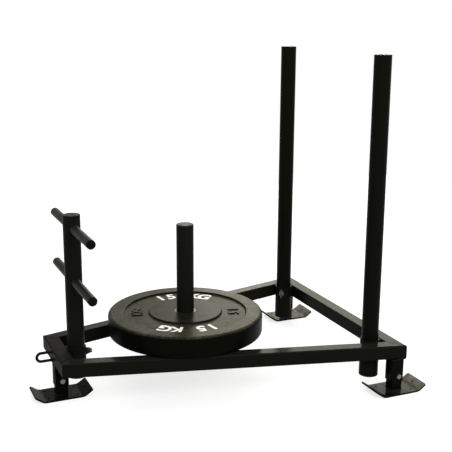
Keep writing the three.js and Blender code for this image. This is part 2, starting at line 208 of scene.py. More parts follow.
# dust is the dust's colour, and where it is spread it also paints light on the rear skids and their flaps
skidPaintLook = {
    "ior": 1.062, "colour": (0.0042, 0.0042, 0.0032), "dust": (0.26, 0.245, 0.206),
    "along": {"stretch": (6, 160, 160), "grain": (5, 3, 0.6), "window": (0.58, 0.79)},
    "across": {"stretch": (150, 12, 150), "grain": (4, 3, 0.6), "window": (0.64, 0.82)},
    "acrossShare": 0.5, "cloud": (55, 6, 0.7), "cloudWindow": (0.38, 0.62), "thinnest": 0.45,
    "rearWindow": (0.225, 0.31), "farLean": 0.5, "frontShare": 0.02, "flapWindow": (5.1 * mm, 9 * mm),
    "flatShare": 0.2, "upWindow": (0.62, 0.8), "smear": (45, 6, 0.65), "smearWindow": (0.3, 0.7),
    "rough": (0.17, 0.3), "peel": (380, 2, 0.4), "peelStrength": 0.4, "peelDepth": 0.015 * mm,
    "scratchStrength": 0.25}
zincLook = {
    "ior": 1.5, "metallic": 1, "colour": (0.18, 0.173, 0.142), "dull": (0.122, 0.116, 0.093),
    "patches": (260, 5, 0.6), "dullWindow": (0.4, 0.7), "mostDull": 1, "rough": (0.22, 0.4),
    "grain": (1400, 2, 0.5), "grainStrength": 0.2, "grainDepth": 0.03 * mm}
blackZincLook = {
    **zincLook, "colour": (0.03, 0.029, 0.026), "dull": (0.016, 0.0155, 0.014), "rough": (0.3, 0.45)}
hubLook = {
    **zincLook, "colour": (0.028, 0.027, 0.024), "dull": (0.019, 0.0185, 0.016), "patches": (180, 5, 0.6),
    "rough": (0.42, 0.55), "rings": {"Scale": 130, "Distortion": 0.4, "Detail": 1},
    "grainStrength": 0.15, "grainDepth": 0.02 * mm}
whitePaintLook = {
    "ior": 1.4, "colour": (0.84, 0.838, 0.78), "dull": (0.57, 0.56, 0.5), "patches": (320, 6, 0.7),
    "dullWindow": (0.56, 0.7), "mostDull": 0.8, "rough": (0.45, 0.6), "grain": (900, 3, 0.5),
    "grainStrength": 0.3, "grainDepth": 0.05 * mm}
blackPlasticLook = {
    "ior": 1.08, "colour": (0.0036, 0.0037, 0.0029), "dusty": (0.0075, 0.0073, 0.006),
    "cloud": (22, 6, 0.6), "cloudWindow": (0.38, 0.66), "thinnest": 0, "smear": (90, 4, 0.6),
    "smearWindow": (0.3, 0.7), "rough": (0.36, 0.5), "grain": (1500, 3, 0.55), "grainStrength": 0.5,
    "grainDepth": 0.03 * mm}
# the disc round the hub keeps less of the rubber's dust, painted shade round the horn
rubberLook = {
    **blackPlasticLook, "ior": 1.065, "colour": (0.0032, 0.0033, 0.0023), "dusty": (0.06, 0.056, 0.035),
    "thinnest": 0.45, "specks": (120, 5, 0.7), "speckWindow": (0.38, 0.62), "fewestSpecks": 0.35,
    "upWindow": (0.35, 0.75), "matteRing": (105 * mm, 178 * mm), "soften": 2 * mm, "dustLeftInHornShade": 0.4,
    "matteRough": 0.035, "rough": (0.27, 0.35), "grain": (900, 3, 0.55), "grainDepth": 0.02 * mm}
greyPlasticLook = {
    **blackPlasticLook, "ior": 1.085, "colour": (0.082, 0.085, 0.074), "dusty": (0.06, 0.062, 0.053),
    "darkerRimColour": (0.025, 0.026, 0.02), "darkerRimStart": 20 * mm, "soften": 3.5 * mm, "rough": (0.38, 0.52),
    "grainDepth": 0.02 * mm}
knobLook = {
    **blackPlasticLook, "ior": 1.4, "colour": (0.044, 0.045, 0.039), "dusty": (0.068, 0.066, 0.057),
    "rough": (0.25, 0.4), "grainDepth": 0.02 * mm}


def paint(name, look):
    # slow clouds of dust on what looks up, and rubbed spots all over
    material, tree, shader, place = startMaterial(name, look)
    cloud = noise(tree, place, look["cloud"])
    rubbed = remap(tree, cloud, look["wornWindow"], 0, look["mostWorn"])
    dust = remap(tree, cloud, look["dustWindow"], look["leastDust"])
    settled = multiply(tree, dust, upShare(tree, look["upWindow"]))
    dusted = blendColours(tree, settled, look["colour"], look["dusty"])
    coat(tree, shader, blendColours(tree, rubbed, dusted, look["worn"]), smeared(tree, place, look))
    bump(tree, shader, noise(tree, place, look["peel"]), look["peelStrength"], look["peelDepth"])
    return material


def skidPaint(name, look):
    # scuffed along and across, with dust that is partly real and partly painted light and shade: it lies on
    # the two rear skids and thins towards the front and the near side, leaving the front skid nearly bare as
    # painted shade, and it is thickest on the flaps as painted light
    material, tree, shader, place = startMaterial(name, look)
    along = scratches(tree, place, look["along"])
    across = multiply(tree, scratches(tree, place, look["across"]), look["acrossShare"])
    cloud = remap(tree, noise(tree, place, look["cloud"]), look["cloudWindow"], look["thinnest"])
    spot = addNode(tree, "SeparateXYZ", {"Vector": place}).outputs
    # thinner towards the front and the near side, down to a trace on the front skid: painted shade
    leant = calculate(tree, "MULTIPLY_ADD", spot["Y"], look["farLean"], spot["X"])
    rear = remap(tree, leant, look["rearWindow"], look["frontShare"])
    # more on the flaps than on the flats: painted light
    flap = remap(tree, spot["Z"], look["flapWindow"], look["flatShare"])
    dustLightAndShadeShare = multiply(tree, multiply(tree, rear, flap), upShare(tree, look["upWindow"]))
    colour = look["colour"]
    for pattern in (cloud, along, across):
        colour = blendColours(tree, multiply(tree, pattern, dustLightAndShadeShare), colour, look["dust"])
    coat(tree, shader, colour, smeared(tree, place, look))
    peel = bump(tree, shader, noise(tree, place, look["peel"]), look["peelStrength"], look["peelDepth"])
    bump(tree, shader, along, look["scratchStrength"], -look["peelDepth"], peel)
    return material


def patched(name, look):
    # a finish with duller patches, over a fine grain or the rings of a lathe
    material, tree, shader, place = startMaterial(name, look)
    patches = remap(tree, noise(tree, place, look["patches"]), look["dullWindow"], 0, look["mostDull"])
    colour = blendColours(tree, patches, look["colour"], look["dull"])
    coat(tree, shader, colour, remap(tree, patches, (0, 1), *look["rough"]))
    if "rings" in look:
        rings = addNode(tree, "TexWave", {"Vector": place, **look["rings"]}, wave_type="RINGS",
                        rings_direction="Z")
        height = rings.outputs["Fac"]
    else:
        height = noise(tree, place, look["grain"])
    bump(tree, shader, height, look["grainStrength"], look["grainDepth"])
    return material


def moulded(name, look):
    # a grained surface with slow clouds of dust
    material, tree, shader, place = startMaterial(name, look)
    cloud = remap(tree, noise(tree, place, look["cloud"]), look["cloudWindow"], look["thinnest"])
    rough = smeared(tree, place, look)
    if "specks" in look:
        specks = remap(tree, noise(tree, place, look["specks"]), look["speckWindow"], look["fewestSpecks"])
        cloud = multiply(tree, multiply(tree, cloud, specks), upShare(tree, look["upWindow"]))
    if "matteRing" in look:
        # the plate's recess is a little duller, and the disc round the hub keeps less dust, so it is darker:
        # painted shade round the horn
        inner, outer = (edgeShare(tree, place, "plate_rubber", radius, look["soften"])
                        for radius in look["matteRing"])
        cloud = multiply(tree, cloud, remap(tree, inner, (0, 1), look["dustLeftInHornShade"]))
        extra = multiply(tree, calculate(tree, "SUBTRACT", inner, outer), look["matteRough"])
        rough = calculate(tree, "ADD", rough, extra)
    colour = blendColours(tree, cloud, look["colour"], look["dusty"])
    # the cap turns darker beyond a radius from the horn's middle line, round its rim
    if "darkerRimColour" in look:
        outside = edgeShare(tree, place, "weight_horn", look["darkerRimStart"], look["soften"])
        colour = blendColours(tree, outside, colour, look["darkerRimColour"])
    coat(tree, shader, colour, rough)
    bump(tree, shader, noise(tree, place, look["grain"]), look["grainStrength"], look["grainDepth"])
    return material


# each finish's maker, its look and the slot it shows in the part, where it has one
finishes = {
    "frame_paint": (paint, framePaintLook, "frame_paint"),
    "leg_shaded_paint": (paint, legShadedPaintLook, "frame_paint"),
    "nose_light_and_shade_paint": (paint, noseLightAndShadePaintLook, "frame_paint"),
    "pole_paint": (paint, polePaintLook, "pole_paint"),
    "horn_lit_paint": (paint, hornLitPaintLook, "pole_paint"),
    "post_paint": (paint, legShadedPaintLook, "skid_paint"),
    "skid_paint": (skidPaint, skidPaintLook, "skid_paint"),
    "zinc": (patched, zincLook, "zinc"),
    "black_zinc": (patched, blackZincLook, "zinc"),
    "hub_steel": (patched, hubLook, "hub_steel"),
    "rubber": (moulded, rubberLook, "rubber"),
    "black_plastic": (moulded, blackPlasticLook, "black_plastic"),
    "grey_plastic": (moulded, greyPlasticLook, "grey_plastic"),
    "knob_plastic": (moulded, knobLook, "black_plastic"),
    "white_paint": (patched, whitePaintLook, None),
}
materials = {finish: make(finish, look) for finish, (make, look, slot) in finishes.items()}
print("materials made:", len(materials))

# Shapes that several pieces share

def only(kind, found):
    return [item for item in found if isinstance(item, kind)]


def shift(bm, place):
    bmesh.ops.translate(bm, vec=place, verts=bm.verts)
    return bm


def aim(bm, place, along, across):
    # turns local z to along and local x to across, and moves the origin to place
    turn = Matrix((across, along.cross(across), along)).transposed().to_4x4()
    bmesh.ops.transform(bm, matrix=Matrix.Translation(place) @ turn, verts=bm.verts)
    return bm


def meshFrom(bm, name):
    mesh = bpy.data.meshes.new(name)
    bm.to_mesh(mesh)
    bm.free()
    return mesh


def addObject(name, data):
    added = bpy.data.objects.new(name, data)
    bpy.context.scene.collection.objects.link(added)
    return added


def joined(parts):
    whole = bmesh.new()
    for part in parts:
        mesh = meshFrom(part, "part")
        whole.from_mesh(mesh)
        bpy.data.meshes.remove(mesh)
    return whole


def finishPiece(bm, name, body, finish, replaced=(), smoothBelow=32):
    bmesh.ops.remove_doubles(bm, verts=bm.verts, dist=mergeBelow)
    bmesh.ops.recalc_face_normals(bm, faces=bm.faces)
    mesh = meshFrom(bm, name)
    mesh.shade_smooth()
    mesh.set_sharp_from_angle(angle=math.radians(smoothBelow))
    mesh.materials.append(materials[finish])
    piece = addObject(name, mesh)
    even = piece.modifiers.new("even shading", "WEIGHTED_NORMAL")
    even.keep_sharp = True
    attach(piece, body)
    if replaced:
        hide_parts(*replaced)


def dress(node, bm, finish, smoothBelow=32):
    # a finer piece in place of one CAD node
    body = frame["nodes"][node]["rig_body"]
    finishPiece(bm, node + "_fine", body, finish, (node,), smoothBelow)


def bevelSharp(bm, width, segments=2, least=60):
    sharp = [e for e in bm.edges if len(e.link_faces) == 2 and e.calc_face_angle() > math.radians(least)]
    bmesh.ops.bevel(bm, geom=sharp, offset=width, affect="EDGES", segments=segments, profile=0.5,
                    material=-1, clamp_overlap=True)
    return bm


def roundCorners(bm, corners, radius, segments=4):
    bmesh.ops.bevel(bm, geom=corners, offset=radius, affect="VERTICES", segments=segments, profile=0.5,
                    material=-1)
    return bm


def extruded(bm, move):
    grown = bmesh.ops.extrude_face_region(bm, geom=list(bm.faces))["geom"]
    bmesh.ops.translate(bm, vec=move, verts=only(BMVert, grown))
    return bm


def turned(profile, steps):
    # profile: (radius, height, rounding) corners round the section, in order; it turns about z
    bm = bmesh.new()
    corners = [bm.verts.new((radius, 0, height)) for radius, height, rounding in profile]
    bm.faces.new(corners)
    for corner, (radius, height, rounding) in zip(corners, profile):
        if rounding > 0:
            roundCorners(bm, [corner], rounding)
    bmesh.ops.delete(bm, geom=list(bm.faces), context="FACES_ONLY")
    onAxis = [e for e in bm.edges if all(abs(v.co.x) < tiny for v in e.verts)]
    bmesh.ops.delete(bm, geom=onAxis, context="EDGES")
    bmesh.ops.spin(bm, geom=list(bm.verts) + list(bm.edges), cent=(0, 0, 0), axis=(0, 0, 1),
                   angle=2 * math.pi, steps=steps, use_merge=True)
    bmesh.ops.remove_doubles(bm, verts=bm.verts, dist=tiny)
    return bm


def dressTube(node, sizes, finish, along=zAxis, radius=None):
    # a round tube or ring along one of the frame's axes, as long as its CAD node,
    # and as wide where no radius is given
    radius, half = radius or extent(node).x / 2, extent(node).dot(along) / 2
    bore = sizes["bore"] / 2 if "bore" in sizes else radius - sizes["wall"]
    corners = [(bore, -half), (radius, -half), (radius, half), (bore, half)]
    shape = turned([(*corner, sizes["edge"]) for corner in corners], sizes["steps"])
    dress(node, aim(shape, middle(node), along, xAxis), finish)


lid = {"plugRound": 0.8 * mm, "seatRound": 0.3 * mm, "grooveShare": 0.72, "grooveHalf": 0.8 * mm,
       "grooveDeep": 0.5 * mm, "grooveRound": 0.2 * mm}


def dressCap(node, radius, sizes, finish, outward=zAxis):
    # a lid that looks outward, with a fine groove round its face and a plug behind it
    tall = abs(extent(node).dot(outward))
    plug = radius - sizes["wall"] - sizes["plugPlay"]
    seat = -sizes["capThick"]
    groove, grooveHalf, grooveRound = radius * lid["grooveShare"], lid["grooveHalf"], lid["grooveRound"]
    shape = turned([(0, -tall, 0), (plug, -tall, lid["plugRound"]), (plug, seat, 0),
                    (radius, seat, lid["seatRound"]), (radius, 0, sizes["capRound"]),
                    (groove + grooveHalf, 0, grooveRound), (groove, -lid["grooveDeep"], grooveRound),
                    (groove - grooveHalf, 0, grooveRound), (0, 0, 0)], sizes["steps"])
    dress(node, aim(shape, middle(node) + outward * tall / 2, outward, xAxis), finish)


def flatPlate(length, width, corner, cornerSteps):
    # a flat rectangle with round corners, on z = 0
    bm = bmesh.new()
    bmesh.ops.create_grid(bm, x_segments=1, y_segments=1, size=0.5)
    bmesh.ops.scale(bm, vec=(length, width, 1), verts=bm.verts)
    return roundCorners(bm, list(bm.verts), corner, cornerSteps)


def boxTube(width, height, sizes, length, cornerSteps=6):
    # a square tube with round corners that stands on z = 0
    bm = flatPlate(width, height, sizes["corner"], cornerSteps)
    inside = list(bm.faces)
    bmesh.ops.inset_region(bm, faces=inside, thickness=sizes["wall"], use_even_offset=True,
                           use_boundary=True)
    bmesh.ops.delete(bm, geom=inside, context="FACES")
    return extruded(bm, (0, 0, length))


def capEnds(bm):
    rims = [e for e in bm.edges if len(e.link_faces) == 1]
    bmesh.ops.holes_fill(bm, edges=rims, sides=0)
    return bm


def sweep(points, radii, up, sides, closed=False):
    # a rod along the points; up is a direction that the path never takes
    count = len(points)
    places = []
    for i, point in enumerate(points):
        before = points[i - 1] if closed or i > 0 else point
        after = points[(i + 1) % count] if closed or i < count - 1 else point
        along = (after - before).normalized()
        across = up.cross(along).normalized()
        turn = Matrix((across, along.cross(across), along)).transposed().to_4x4()
        places.append(Matrix.Translation(point) @ turn @ Matrix.Diagonal((radii[i], radii[i], 1, 1)))
    if closed:
        places.append(places[0])
    bm = bmesh.new()
    bmesh.ops.create_circle(bm, cap_ends=False, segments=sides, radius=1, matrix=places[0])
    edges = list(bm.edges)
    for last, now in zip(places, places[1:]):
        grown = bmesh.ops.extrude_edge_only(bm, edges=edges)["geom"]
        edges = only(BMEdge, grown)
        bmesh.ops.transform(bm, matrix=now @ last.inverted(), verts=only(BMVert, grown))
    if closed:
        bmesh.ops.remove_doubles(bm, verts=bm.verts, dist=tiny)
    else:
        capEnds(bm)
    return bm


def evenPoints(corners, step, closed):
    # points a step apart along a run of straight lines
    ends = corners[1:] + (corners[:1] if closed else [])
    points = []
    for start, end in zip(corners, ends):
        parts = max(1, round((end - start).length / step))
        points += [start.lerp(end, i / parts) for i in range(parts)]
    return points if closed else points + [corners[-1]]


weld = {"radius": 2 * mm, "ripple": 2.4 * mm, "swell": 0.13, "stepsPerRipple": 4, "sides": 8,
        "smoothBelow": 60}


def weldBead(corners, up, radius=weld["radius"], closed=False):
    points = evenPoints(corners, weld["ripple"] / weld["stepsPerRipple"], closed)
    radii = [radius * (1 + weld["swell"] * math.cos(2 * math.pi * i / weld["stepsPerRipple"]))
             for i in range(len(points))]
    return sweep(points, radii, up, weld["sides"], closed)


# Frame of square tube
tube = {"wall": 2.5 * mm, "corner": 4 * mm, "joint": 0.05 * mm}
noseLow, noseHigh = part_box("nose_crossmember")
rearLow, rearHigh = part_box("rear_crossbar")
side = noseHigh.x - noseLow.x
frameTop, frameBottom = noseHigh.z, noseLow.z
slant = math.atan2(rearHigh.y - noseHigh.y, rearHigh.x - noseLow.x)


def railEdge(x, sign, inner=False):
    # a spot on a side rail's outer or inner edge, in plan; sign is -1 for the near rail
    y = noseHigh.y + (x - noseLow.x) * math.tan(slant)
    if inner:
        y -= side / math.cos(slant)
    return Vector((x, sign * y, 0))


def mitreLine(end, sign):
    # the outer and inner corner of one mitre, in plan
    outer, inner = (noseLow.x, noseHigh.x) if end == "nose" else (rearHigh.x, rearLow.x)
    return railEdge(outer, sign), railEdge(inner, sign, True)


def frameMember(start, end, width, startCut, endCut):
    # start and end: middles of the member's ends in plan; each cut is a line in plan that the end follows
    along = (end - start).normalized()
    bm = boxTube(width, side, tube, (end - start).length)
    first = [v for v in bm.verts if v.co.z < tiny]
    last = [v for v in bm.verts if v.co.z >= tiny]
    aim(bm, start + zAxis * (frameTop + frameBottom) / 2, along, zAxis.cross(along))
    for verts, (a, b), gap in ((first, startCut, tube["joint"]), (last, endCut, -tube["joint"])):
        normal = zAxis.cross(b - a).normalized()
        for v in verts:
            toCut = (a - v.co).dot(normal) / along.dot(normal)
            v.co += along * (toCut + gap)
    return bm


def dressCrossTube(node, width, nearCut, farCut, finish):
    x = middle(node).x
    start, end = (Vector((x, corner.y, 0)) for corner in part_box(node))
    dress(node, frameMember(start, end, width, nearCut, farCut), finish)


def buildFrame():
    for name, sign in (("near_side_rail", -1), ("far_side_rail", 1)):
        inset = Vector((math.sin(slant), -sign * math.cos(slant), 0)) * side / 2
        start, end = (railEdge(x, sign) + inset for x in (noseLow.x, rearHigh.x))
        shape = frameMember(start, end, side, mitreLine("nose", sign), mitreLine("rear", sign))
        dress(name, shape, "frame_paint")
    # the nose crossmember takes the copy of the paint with painted light and shade
    dressCrossTube("nose_crossmember", side, mitreLine("nose", -1), mitreLine("nose", 1), "nose_light_and_shade_paint")
    dressCrossTube("rear_crossbar", side, mitreLine("rear", -1), mitreLine("rear", 1), "frame_paint")
    low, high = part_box("centre_crossbar")
    nearCut, farCut = ([railEdge(x, sign, True) for x in (low.x, high.x)] for sign in (-1, 1))
    dressCrossTube("centre_crossbar", high.x - low.x, nearCut, farCut, "frame_paint")
    print("frame members made")


# Weight horn and its cap
horn = {"wall": 3 * mm, "edge": 0.6 * mm, "plugPlay": 0.3 * mm, "capThick": 4 * mm, "capRound": 2.2 * mm,
        "steps": 96}


def buildHorn():
    dressTube("weight_horn", horn, "horn_lit_paint")
    dressCap("horn_cap", extent("weight_horn").x / 2, horn, "grey_plastic")
    print("weight horn made")


# Tow loop
loop = {"rod": 8 * mm, "armSteps": 12, "bendSteps": 28, "sides": 20}


def buildTowLoop():
    low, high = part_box("tow_loop")
    centre = (low + high) / 2
    radius = loop["rod"] / 2
    bend = (high.z - low.z) / 2 - radius
    bendX = low.x + radius + bend
    upper, lower = [], []
    for i in range(loop["armSteps"]):
        x = high.x + (bendX - high.x) * i / loop["armSteps"]
        upper.append(Vector((x, centre.y, centre.z + bend)))
        lower.append(Vector((x, centre.y, centre.z - bend)))
    bent = []
    for i in range(loop["bendSteps"] + 1):
        angle = math.pi * i / loop["bendSteps"]
        bent.append(Vector((bendX - bend * math.sin(angle), centre.y, centre.z + bend * math.cos(angle))))
    points = upper + bent + lower[::-1]
    dress("tow_loop", sweep(points, [radius] * len(points), yAxis, loop["sides"]), "frame_paint")
    print("tow loop made")


# Legs and skids
leg = {"wall": 2 * mm, "corner": 4 * mm, "edge": 0.5 * mm}
skidPost = {"wall": 2 * mm, "corner": 3 * mm}
skid = {"thick": 5 * mm, "flatHalf": 57 * mm, "bendRadius": 26 * mm, "tipRun": 25 * mm, "tipRise": 17 * mm,
        "hole": 6.5 * mm, "holeAlong": 41 * mm, "holeAcross": 27 * mm, "corner": 5 * mm, "cornerSteps": 5,
        "bendSteps": 8, "holeSteps": 24, "edge": 0.4 * mm, "smoothBelow": 25}


def dressSquareTube(node, sizes, finish):
    size, centre = extent(node), middle(node)
    shape = boxTube(size.x, size.y, sizes, size.z)
    if "edge" in sizes:
        bmesh.ops.recalc_face_normals(shape, faces=shape.faces)
        bevelSharp(shape, sizes["edge"])
    dress(node, shift(shape, (centre.x, centre.y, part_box(node)[0].z)), finish)


def skidShape(width):
    # drilled flat, then bent up at both ends; x runs along the skid
    tilt = math.atan2(skid["tipRise"], skid["tipRun"])
    bendStart = skid["flatHalf"] - skid["bendRadius"] * math.tan(tilt / 2)
    bendEnd = bendStart + skid["bendRadius"] * tilt
    bentX = bendStart + skid["bendRadius"] * math.sin(tilt)
    flap = (skid["flatHalf"] + skid["tipRun"] - bentX) / math.cos(tilt)
    bm = flatPlate(2 * (bendEnd + flap), width, skid["corner"], skid["cornerSteps"])
    bmesh.ops.delete(bm, geom=list(bm.faces), context="FACES_ONLY")
    halfTip = math.hypot(skid["tipRun"], skid["tipRise"]) / 2
    flapHole = bendEnd + halfTip - skid["bendRadius"] * math.tan(tilt / 2)
    spots = [(x * skid["holeAlong"], y * skid["holeAcross"]) for x in (-1, 1) for y in (-1, 1)]
    for x, y in spots + [(-flapHole, 0), (flapHole, 0)]:
        bmesh.ops.create_circle(bm, cap_ends=False, segments=skid["holeSteps"], radius=skid["hole"] / 2,
                                matrix=Matrix.Translation((x, y, 0)))
    bmesh.ops.triangle_fill(bm, use_beauty=True, use_dissolve=False, edges=list(bm.edges), normal=(0, 0, 1))
    for sign in (-1, 1):
        for i in range(skid["bendSteps"] + 1):
            x = sign * (bendStart + (bendEnd - bendStart) * i / skid["bendSteps"])
            everything = list(bm.verts) + list(bm.edges) + list(bm.faces)
            bmesh.ops.bisect_plane(bm, geom=everything, dist=tiny, plane_co=(x, 0, 0), plane_no=(1, 0, 0))
    extruded(bm, (0, 0, skid["thick"]))
    bmesh.ops.recalc_face_normals(bm, faces=bm.faces)
    bevelSharp(bm, skid["edge"])
    for v in bm.verts:
        sign = 1 if v.co.x > 0 else -1
        along = abs(v.co.x)
        if along > bendStart:
            turn = min(tilt, (along - bendStart) / skid["bendRadius"])
            rest = max(0, along - bendEnd)
            arm = skid["bendRadius"] - v.co.z
            x = bendStart + arm * math.sin(turn) + rest * math.cos(turn)
            v.co = (sign * x, v.co.y, skid["bendRadius"] - arm * math.cos(turn) + rest * math.sin(turn))
    return bm


# Fasteners
fastener = {"chamfer": math.radians(30), "facetShare": 0.95, "mouth": 0.6 * mm, "mouthDeep": 0.5 * mm,
            "around": 48}
ridge = {"sunk": 0.1 * mm, "riseShare": 0.42, "crestShare": 0.52, "fallShare": 0.94, "stepsPerTurn": 32,
         "tip": 0.8 * mm}


def stack(rings, closed):
    # rings: rules from angle to (radius, height), from one end to the other
    bm = bmesh.new()
    bmesh.ops.create_circle(bm, cap_ends=False, segments=fastener["around"], radius=1)
    edges, verts = list(bm.edges), list(bm.verts)
    for i, rule in enumerate(rings):
        if i > 0:
            grown = bmesh.ops.extrude_edge_only(bm, edges=edges)["geom"]
            edges, verts = only(BMEdge, grown), only(BMVert, grown)
        for v in verts:
            angle = math.atan2(v.co.y, v.co.x)
            radius, height = rule(angle)
            v.co = (radius * math.cos(angle), radius * math.sin(angle), height)
    if not closed:
        capEnds(bm)
    bmesh.ops.remove_doubles(bm, verts=bm.verts, dist=mergeBelow)
    return bm


def hexShape(flats, tall, hole=0.0, bothEnds=True):
    # stands on z = 0, and its corners are turned down there, or at both ends
    facet = flats / 2 * fastener["facetShare"]

    def edge(angle):
        # from the axis to the hexagon's side
        return flats / 2 / math.cos((angle + math.pi / 6) % (math.pi / 3) - math.pi / 6)

    def drop(angle):
        return (edge(angle) - facet) * math.tan(fastener["chamfer"])

    rings = [lambda angle: (facet, 0), lambda angle: (edge(angle), drop(angle)),
             lambda angle: (edge(angle), tall - (drop(angle) if bothEnds else 0)),
             lambda angle: (facet, tall)]
    if hole > 0:
        mouth, deep = hole + fastener["mouth"], fastener["mouthDeep"]
        inside = [(mouth, tall), (hole, tall - deep), (hole, deep), (mouth, 0)]
        rings += [lambda angle, spot=spot: spot for spot in inside] + rings[:1]
    return stack(rings, hole > 0)


def threadedRod(radius, low, high, pitch, depth):
    # a core with a short tip at low, and one helical ridge round it
    core, tip = radius - depth, ridge["tip"]
    rod = turned([(0, low, 0), (core - tip / 2, low, 0), (core, low + tip, 0), (core, high, 0), (0, high, 0)],
                 fastener["around"])
    bm = bmesh.new()
    start, root = low + tip / 2, core - ridge["sunk"]
    section = [(root, start), (radius, start + pitch * ridge["riseShare"]),
               (radius, start + pitch * ridge["crestShare"]), (root, start + pitch * ridge["fallShare"])]
    corners = [bm.verts.new((x, 0, z)) for x, z in section]
    face = bm.faces.new(corners)
    turns = (high - start) / pitch - 1
    bmesh.ops.spin(bm, geom=[face] + list(face.edges) + corners, cent=(0, 0, 0), axis=(0, 0, 1),
                   dvec=(0, 0, pitch / ridge["stepsPerTurn"]), angle=2 * math.pi * turns,
                   steps=round(ridge["stepsPerTurn"] * turns))
    return joined([rod, bm])


bolt = {"size": 8 * mm, "headFlats": 13 * mm, "headHeight": 5.3 * mm, "tail": 12 * mm, "overlap": 1 * mm,
        "pitch": 1.25 * mm, "depth": 0.7 * mm}
washer = {"bore": 8.8 * mm, "edge": 0.35 * mm, "steps": 64}


def boltShape(length):
    # stands on its head, with the thread at its upper end
    radius, plainEnd = bolt["size"] / 2, length - bolt["tail"]
    head = hexShape(bolt["headFlats"], bolt["headHeight"], bothEnds=False)
    shank = turned([(0, bolt["headHeight"], 0), (radius, bolt["headHeight"], 0), (radius, plainEnd, 0),
                    (0, plainEnd, 0)], fastener["around"])
    threaded = threadedRod(radius, 0, bolt["tail"] + bolt["overlap"], bolt["pitch"], bolt["depth"])
    aim(threaded, zAxis * length, -zAxis, xAxis)
    return joined([head, shank, threaded])


def dressAcrossLeg(node, shape, finish):
    # local z runs from the bolt's head on the near side to the far side
    centre = middle(node)
    seat = Vector((centre.x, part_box(node)[0].y, centre.z))
    dress(node, aim(shape, seat, yAxis, xAxis), finish)


def buildLegs():
    for end in legEnds:
        name = end + "_skid"
        # the front leg takes the nose's paint with painted light and shade, the rear legs the darker copy
        # with painted shade
        dressSquareTube(end + "_leg", leg, "nose_light_and_shade_paint" if end == "front" else "leg_shaded_paint")
        dressSquareTube(name + "_post", skidPost, "post_paint")
        centre = middle(name)
        shape = shift(skidShape(extent(name).y), (centre.x, centre.y, 0))
        dress(name, shape, "skid_paint", skid["smoothBelow"])
        dressAcrossLeg(name + "_bolt", boltShape(extent(name + "_bolt").y), "zinc")
        dressTube(name + "_washer", washer, "black_zinc", yAxis)
        nut = hexShape(bolt["headFlats"], extent(name + "_nut").y, bolt["size"] / 2)
        dressAcrossLeg(name + "_nut", nut, "zinc")
    print("legs and skids made")


# Sleeves with their lock screws and knobs
sleeve = {"wall": 2.5 * mm, "edge": 0.6 * mm, "gap": 0.3 * mm, "steps": 96}
sleeveBase = {"bore": 12 * mm, "edge": 0.4 * mm, "steps": 72}
lock = {"size": 10 * mm, "pitch": 1.5 * mm, "depth": 0.9 * mm, "nutFlats": 17 * mm, "nutHeight": 6 * mm,
        "play": 0.3 * mm, "tipInside": 1 * mm, "standoff": 1 * mm}
knob = {"seat": 5 * mm, "length": 10 * mm, "rootSize": 18 * mm, "tipSize": 9 * mm, "neckShare": 0.25,
        "shoulderShare": 0.7, "shoulderOut": 0.8 * mm, "mouthRound": 0.2 * mm, "rootRound": 0.8 * mm,
        "neckRound": 1.5 * mm, "tipRound": 1.2 * mm, "steps": 64, "uprightShare": 1.2}
ears = {"span": 30 * mm, "thick": 4.5 * mm, "cornerRound": 0.8 * mm, "cornerSteps": 3, "edge": 0.9 * mm,
        "edgeSteps": 3, "sharpAbove": 50,
        "outlineShares": ((0, 0.08), (0.5, 0.16), (0.9, 0.3), (1, 0.42), (0.96, 0.62), (0.72, 0.84),
                          (0, 0.9))}


def ear(sign):
    # one flat wing of the knob, in the local x-z plane, drawn in shares of its reach and the knob's length
    bm = bmesh.new()
    reach, rise, front = sign * ears["span"] / 2, knob["length"], -ears["thick"] / 2
    corners = [bm.verts.new((reach * x, front, rise * z)) for x, z in ears["outlineShares"]]
    bm.faces.new(corners)
    roundCorners(bm, corners[2:6], ears["cornerRound"], ears["cornerSteps"])
    extruded(bm, (0, ears["thick"], 0))
    bmesh.ops.recalc_face_normals(bm, faces=bm.faces)
    return bevelSharp(bm, ears["edge"], ears["edgeSteps"], ears["sharpAbove"])


def knobShape():
    root, tip, length = knob["rootSize"] / 2, knob["tipSize"] / 2, knob["length"]
    hole, holeEnd = lock["size"] / 2 + lock["play"], knob["seat"] + lock["play"]
    hub = turned([(hole, 0, knob["mouthRound"]), (root, 0, knob["rootRound"]),
                  (root, length * knob["neckShare"], knob["neckRound"]),
                  (tip + knob["shoulderOut"], length * knob["shoulderShare"], knob["neckRound"]),
                  (tip, length, knob["tipRound"]), (0, length, 0), (0, holeEnd, 0), (hole, holeEnd, 0)],
                 knob["steps"])
    return joined([hub, ear(1), ear(-1)])


def lockLine(end):
    # where a lock screw's line crosses the middle line of its sleeve, and the way the screw points
    centre, screw = middle(end + "_sleeve"), middle(end + "_lock_screw")
    out = Vector((screw.x - centre.x, screw.y - centre.y, 0)).normalized()
    return Vector((centre.x, centre.y, screw.z)), out


